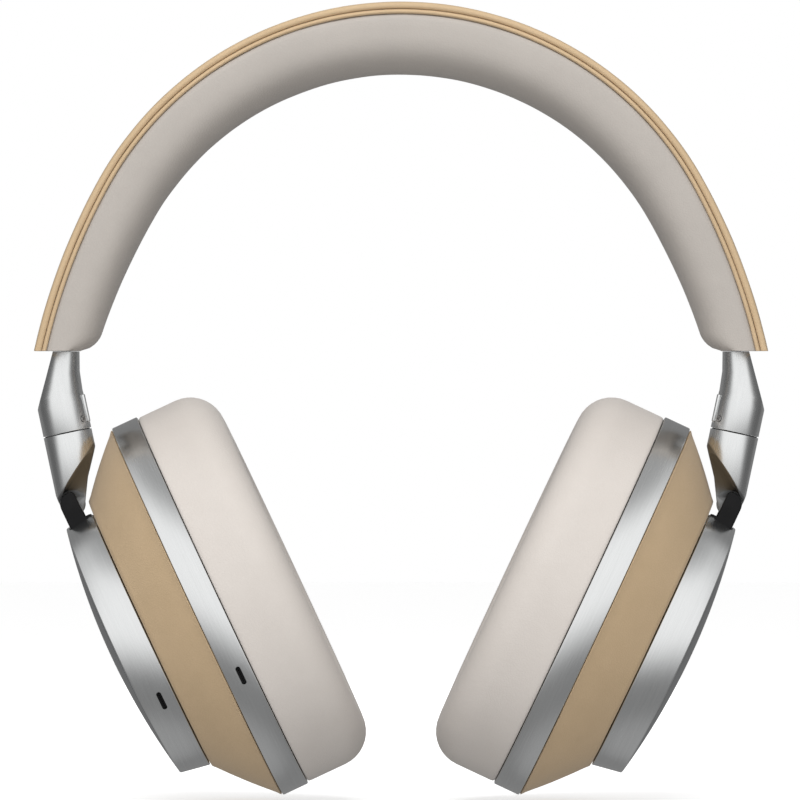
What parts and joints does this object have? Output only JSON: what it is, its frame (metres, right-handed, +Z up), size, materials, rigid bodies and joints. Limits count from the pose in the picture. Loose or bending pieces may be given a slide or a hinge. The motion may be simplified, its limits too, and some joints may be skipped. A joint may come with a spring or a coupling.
{
  "type": "over ear headphones",
  "caption": "Wireless over ear headphones: a padded arched headband, sliding metal arms, swivelling yokes and tilting oval ear cups with soft cushions.",
  "frame": {"origin": "middle of the headband pad's underside at the crown, where it rests on the head", "axes": "+Z up, +X towards the wearer's left ear, -Y the way the wearer faces"},
  "size_m": [0.1836, 0.0813, 0.1982],
  "materials": {
    "tan_leather": "matte grained",
    "pale_leather": "soft matte",
    "satin_metal": "satin",
    "steel": "brushed",
    "black_plastic": "matte",
    "grey_plastic": "matte",
    "board": "satin",
    "speaker_cloth": "woven"
  },
  "bodies": {
    "headband": {"headband_cover": "tan_leather", "headband_piping_front": "tan_leather", "headband_piping_rear": "tan_leather", "headband_spring": "steel", "headband_pad": "pale_leather", "link_cable": "black_plastic", "right_slide_guide": "grey_plastic", "right_detent_spring": "steel", "left_slide_guide": "grey_plastic", "left_detent_spring": "steel"},
    "right_arm": {"right_slide_rail": "steel", "right_arm": "satin_metal", "right_hinge_cover": "satin_metal", "right_set_screw": "steel", "right_swivel_pin": "steel"},
    "right_yoke": {"right_yoke": "satin_metal", "right_friction_washer": "black_plastic", "right_tilt_pin": "steel"},
    "right_cup": {"right_hinge_bracket": "black_plastic", "right_bracket_screw": "steel", "right_outer_ring": "satin_metal", "right_end_plate": "satin_metal", "right_cup_body": "tan_leather", "right_inner_ring": "satin_metal", "right_baffle": "black_plastic", "right_driver_frame": "black_plastic", "right_driver_magnet": "steel", "right_driver_diaphragm": "speaker_cloth", "right_ear_grille": "speaker_cloth", "right_circuit_board": "board", "right_ear_cushion": "pale_leather", "charging_socket": "black_plastic", "inner_microphone": "black_plastic", "outer_microphone": "black_plastic", "battery": "grey_plastic"},
    "left_arm": {"left_slide_rail": "steel", "left_arm": "satin_metal", "left_hinge_cover": "satin_metal", "left_set_screw": "steel", "left_swivel_pin": "steel"},
    "left_yoke": {"left_yoke": "satin_metal", "left_friction_washer": "black_plastic", "left_tilt_pin": "steel"},
    "left_cup": {"left_hinge_bracket": "black_plastic", "left_bracket_screw": "steel", "left_outer_ring": "satin_metal", "left_end_plate": "satin_metal", "left_cup_body": "tan_leather", "left_inner_ring": "satin_metal", "left_baffle": "black_plastic", "left_driver_frame": "black_plastic", "left_driver_magnet": "steel", "left_driver_diaphragm": "speaker_cloth", "left_ear_grille": "speaker_cloth", "left_circuit_board": "board", "left_ear_cushion": "pale_leather"},
    "volume_up_button": {"volume_up_button": "satin_metal"},
    "multifunction_button": {"multifunction_button": "satin_metal"},
    "volume_down_button": {"volume_down_button": "satin_metal"},
    "action_button": {"action_button": "satin_metal"}
  },
  "joints": [
    {"name": "right_slide", "type": "slide", "parent": "headband", "child": "right_arm", "axis": [-0.3244, 0, -0.9459], "range_m": [0, 0.028]},
    {"name": "right_swivel", "type": "hinge", "parent": "right_arm", "child": "right_yoke", "pos_m": [-0.08329, 0, -0.0894], "axis": [-0.2079, 0, 0.9781], "range_deg": [-15, 90]},
    {"name": "right_tilt", "type": "hinge", "parent": "right_yoke", "child": "right_cup", "pos_m": [-0.0819, 0, -0.10725], "axis": [0, 1, 0], "range_deg": [-4, 20]},
    {"name": "left_slide", "type": "slide", "parent": "headband", "child": "left_arm", "axis": [0.3244, 0, -0.9459], "range_m": [0, 0.028]},
    {"name": "left_swivel", "type": "hinge", "parent": "left_arm", "child": "left_yoke", "pos_m": [0.08329, 0, -0.0894], "axis": [-0.2079, 0, -0.9781], "range_deg": [-15, 90]},
    {"name": "left_tilt", "type": "hinge", "parent": "left_yoke", "child": "left_cup", "pos_m": [0.0819, 0, -0.10725], "axis": [0, -1, 0], "range_deg": [-4, 20]},
    {"name": "volume_up_button_press", "type": "slide", "parent": "right_cup", "child": "volume_up_button", "axis": [0.093, -0.9757, -0.1986], "range_m": [0, 0.0006], "stiffness_N_per_m": 600},
    {"name": "multifunction_button_press", "type": "slide", "parent": "right_cup", "child": "multifunction_button", "axis": [0, -1, 0], "range_m": [0, 0.0006], "stiffness_N_per_m": 600},
    {"name": "volume_down_button_press", "type": "slide", "parent": "right_cup", "child": "volume_down_button", "axis": [-0.093, -0.9757, 0.1986], "range_m": [0, 0.0006], "stiffness_N_per_m": 600},
    {"name": "action_button_press", "type": "slide", "parent": "left_cup", "child": "action_button", "axis": [0, -1, 0], "range_m": [0, 0.0006], "stiffness_N_per_m": 600}
  ]
}
